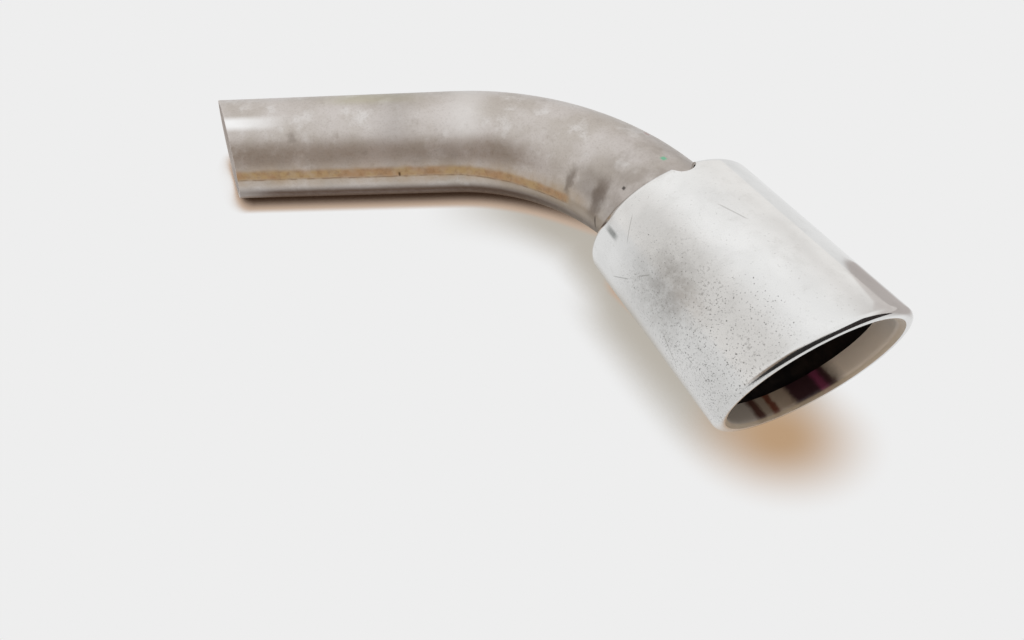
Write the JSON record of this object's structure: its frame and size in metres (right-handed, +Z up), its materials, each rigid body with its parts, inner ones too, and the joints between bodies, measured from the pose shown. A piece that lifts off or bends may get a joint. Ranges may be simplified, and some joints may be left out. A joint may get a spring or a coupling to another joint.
{
  "type": "exhaust tip",
  "caption": "Bent steel exhaust pipe, sawn off at its inlet, that carries a polished round tip with a rounded shoulder, a rolled lip and a slanted mouth.",
  "frame": {"origin": "where the pipe's axis meets the sawn inlet end; the part lies as it comes to rest, and the flat surface under it is 25.05 mm below the origin", "axes": "+X runs from the sawn end along the straight pipe, which lies level; the pipe bends towards -Y, where the mouth is, and rises a little on the way; +Z is up"},
  "size_m": [0.2958, 0.1846, 0.0922],
  "materials": {
    "pipe_steel": "satin stainless steel, clouded and heat-tinted along its seam",
    "polished_shell": "polished, with fine pits, sooty black inside",
    "weld_steel": "as welded, rough and brown-grey"
  },
  "bodies": {
    "root": {"bent_pipe": "pipe_steel", "tip_shell": "polished_shell", "weld_bead": "weld_steel"}
  },
  "joints": []
}
